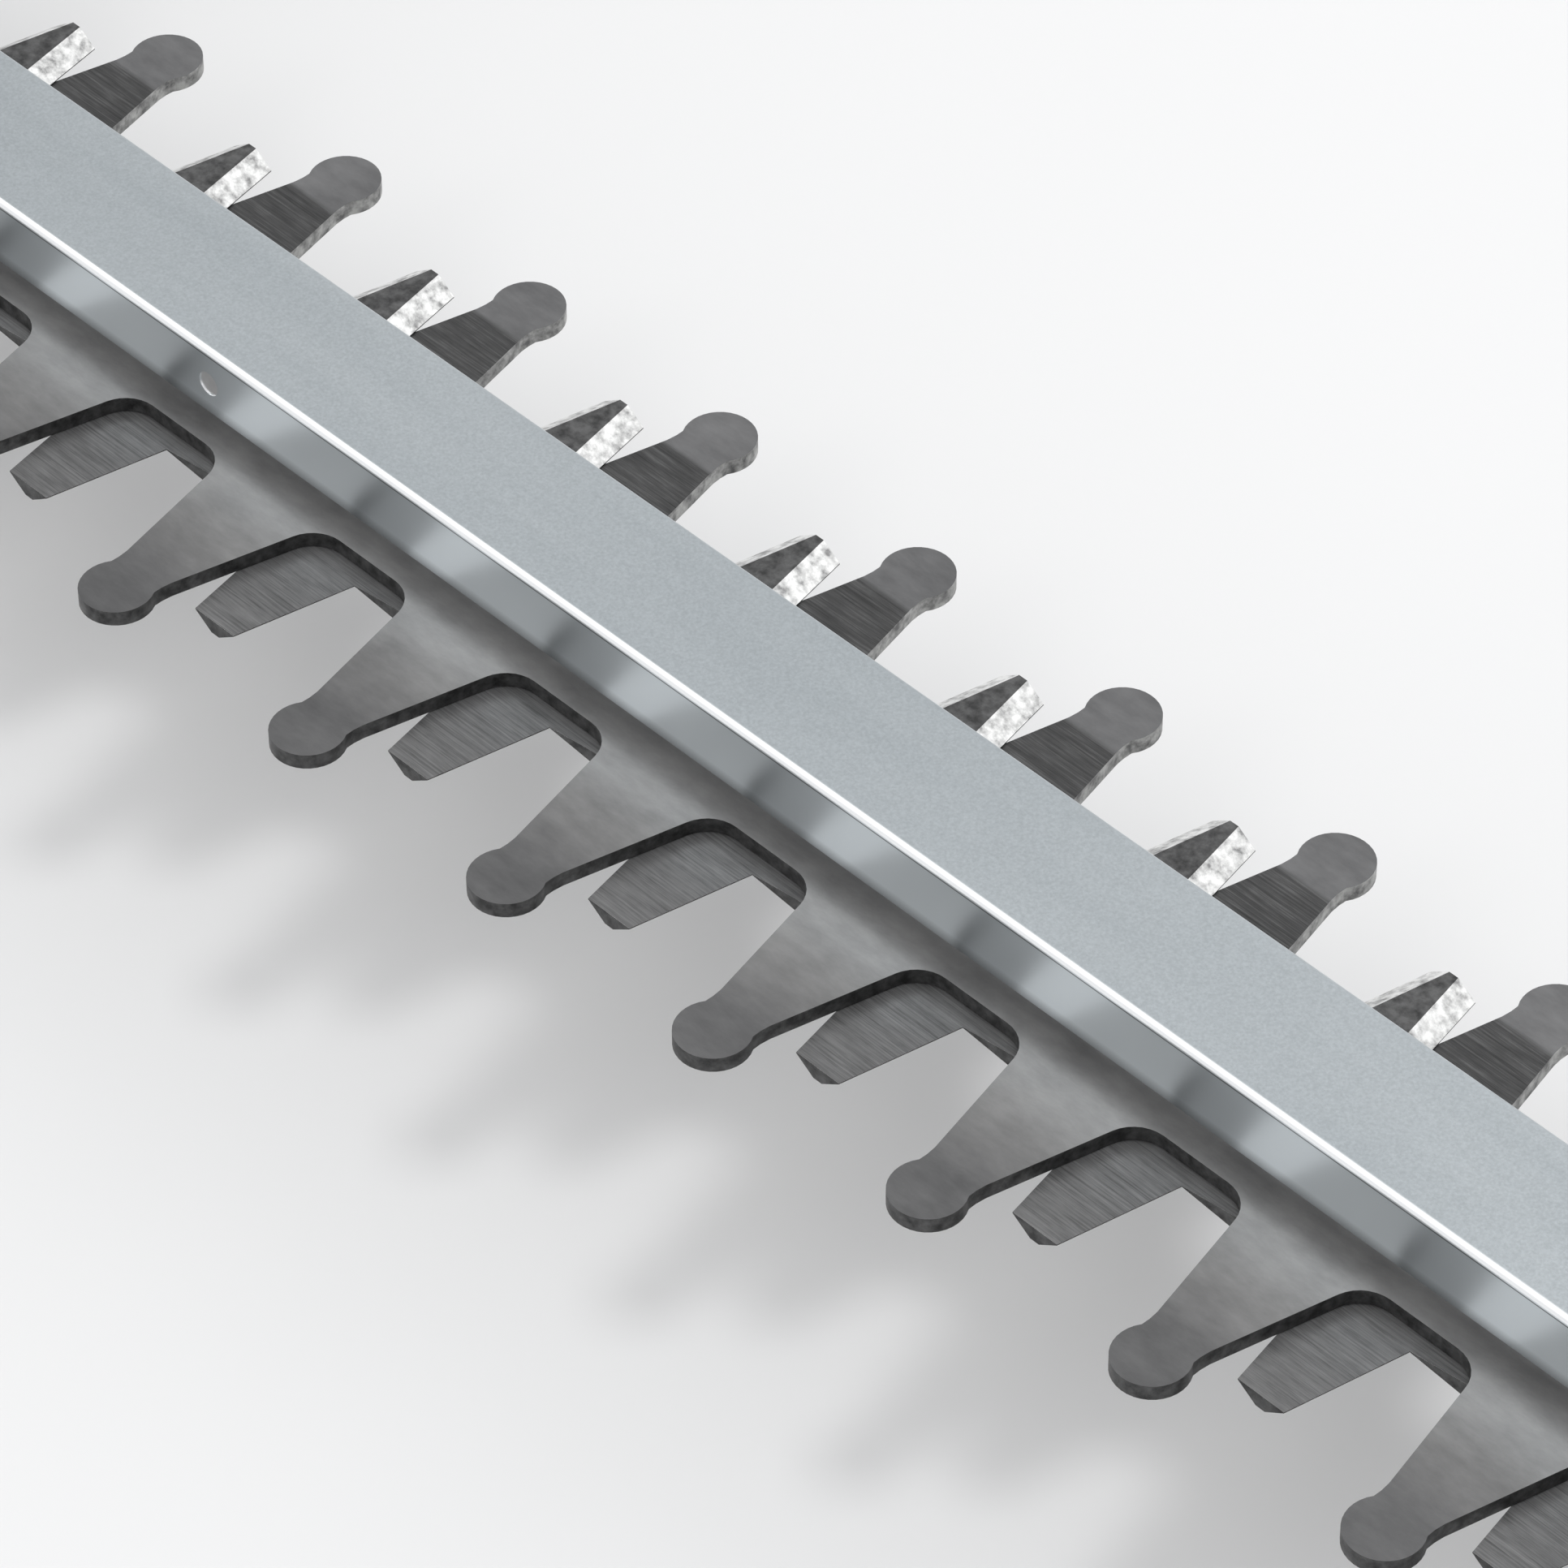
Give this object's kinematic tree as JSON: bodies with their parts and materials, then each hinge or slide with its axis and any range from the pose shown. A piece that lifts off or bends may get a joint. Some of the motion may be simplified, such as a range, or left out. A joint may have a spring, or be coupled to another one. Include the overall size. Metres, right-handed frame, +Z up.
{
  "type": "hedge trimmer",
  "caption": "Battery hedge trimmer with a long double-sided cutter bar: toothed reciprocating blades under a channel guard rail, front bail handle and rear loop grip.",
  "frame": {"origin": "centre of the bounding box in plan, at the surface the machine rests on", "axes": "+X along the cutter bar towards its tip, +Y to the left seen from the rear grip, +Z up"},
  "size_m": [1.022, 0.18, 0.237],
  "materials": {
    "blade_steel": "satin ground",
    "rail_steel": "satin top, glossy side",
    "machined_steel": "machined",
    "bush_bronze": "satin",
    "black_screws": "black oxide",
    "cast_alloy": "as cast",
    "dark_plastic": "fine grain",
    "shell_plastic": "fine grain",
    "soft_rubber": "soft touch",
    "amber_plastic": "satin",
    "motor_steel": "zinc plated",
    "magnet": "matt",
    "circuit_board": "lacquered",
    "cell_sleeve": "shrink sleeve"
  },
  "bodies": {
    "machine": {"guard_rail": "rail_steel", "guide_bar": "machined_steel", "rail_standoffs": "machined_steel", "rail_pins": "machined_steel", "guide_bushes": "bush_bronze", "slide_washers": "machined_steel", "guide_screws": "black_screws", "bar_screws": "black_screws", "tip_guard": "dark_plastic", "tip_screw": "black_screws", "gear_case": "cast_alloy", "gear_cover": "cast_alloy", "cover_screws": "black_screws", "rest_skids": "soft_rubber", "front_seal": "soft_rubber", "upper_bearing": "machined_steel", "lower_bearing": "machined_steel", "motor_can": "motor_steel", "motor_magnets": "magnet", "left_shell": "shell_plastic", "right_shell": "shell_plastic", "shell_screws": "black_screws", "grip_pad": "soft_rubber", "trigger_switch": "dark_plastic", "control_board": "circuit_board", "battery_terminal": "dark_plastic", "bail_handle": "soft_rubber", "hand_guard": "dark_plastic", "guard_screws": "machined_steel"},
    "crank": {"crank_shaft": "machined_steel", "crank_gear": "machined_steel"},
    "rotor": {"motor_shaft": "machined_steel", "rotor_core": "motor_steel", "pinion": "machined_steel", "cooling_fan": "dark_plastic"},
    "blade_upper": {"upper_blade": "blade_steel"},
    "blade_lower": {"lower_blade": "blade_steel"},
    "trigger_body": {"trigger": "amber_plastic"},
    "lock_body": {"lock_button": "amber_plastic"},
    "switch_bar_body": {"front_switch_bar": "amber_plastic"},
    "battery": {"battery_case": "dark_plastic", "battery_cells": "cell_sleeve"},
    "latch": {"battery_latch": "amber_plastic"}
  },
  "joints": [
    {"name": "crank_spin", "type": "hinge", "parent": "machine", "child": "crank", "pos_m": [-0.165, 0, 0.038], "axis": [0, 0, 1], "range_deg": [-122.95, 57.05]},
    {"name": "rotor_spin", "type": "hinge", "parent": "machine", "child": "rotor", "pos_m": [-0.201, 0, 0.1], "axis": [0, 0, 1], "range_deg": [-285.5, 615]},
    {"name": "upper_stroke", "type": "slide", "parent": "machine", "child": "blade_upper", "axis": [1, 0, 0], "range_m": [-0.01135, 0.0053]},
    {"name": "lower_stroke", "type": "slide", "parent": "machine", "child": "blade_lower", "axis": [1, 0, 0], "range_m": [-0.0053, 0.01135]},
    {"name": "trigger_squeeze", "type": "hinge", "parent": "machine", "child": "trigger_body", "pos_m": [-0.308, 0, 0.1234], "axis": [0, 1, 0], "range_deg": [0, 9], "stiffness_Nm_per_rad": 0.5, "springref_deg": -17.19},
    {"name": "lock_slide", "type": "slide", "parent": "machine", "child": "lock_body", "axis": [1, 0, 0], "range_m": [0, 0.006], "stiffness_N_per_m": 300, "springref_m": -0.004},
    {"name": "front_bar_press", "type": "slide", "parent": "machine", "child": "switch_bar_body", "axis": [0, 0, 1], "range_m": [0, 0.004], "stiffness_N_per_m": 600, "springref_m": -0.004},
    {"name": "battery_slide", "type": "slide", "parent": "machine", "child": "battery", "axis": [-1, 0, 0], "range_m": [0, 0.11]},
    {"name": "latch_press", "type": "slide", "parent": "battery", "child": "latch", "axis": [1, 0, 0], "range_m": [0, 0.0022], "stiffness_N_per_m": 500, "springref_m": -0.003}
  ],
  "couplings": [
    {"joint": "rotor_spin", "follows": "crank_spin", "ratio": -5},
    {"joint": "upper_stroke", "follows": "crank_spin", "m_per_rad": 0.005252},
    {"joint": "lower_stroke", "follows": "crank_spin", "m_per_rad": -0.005252}
  ]
}
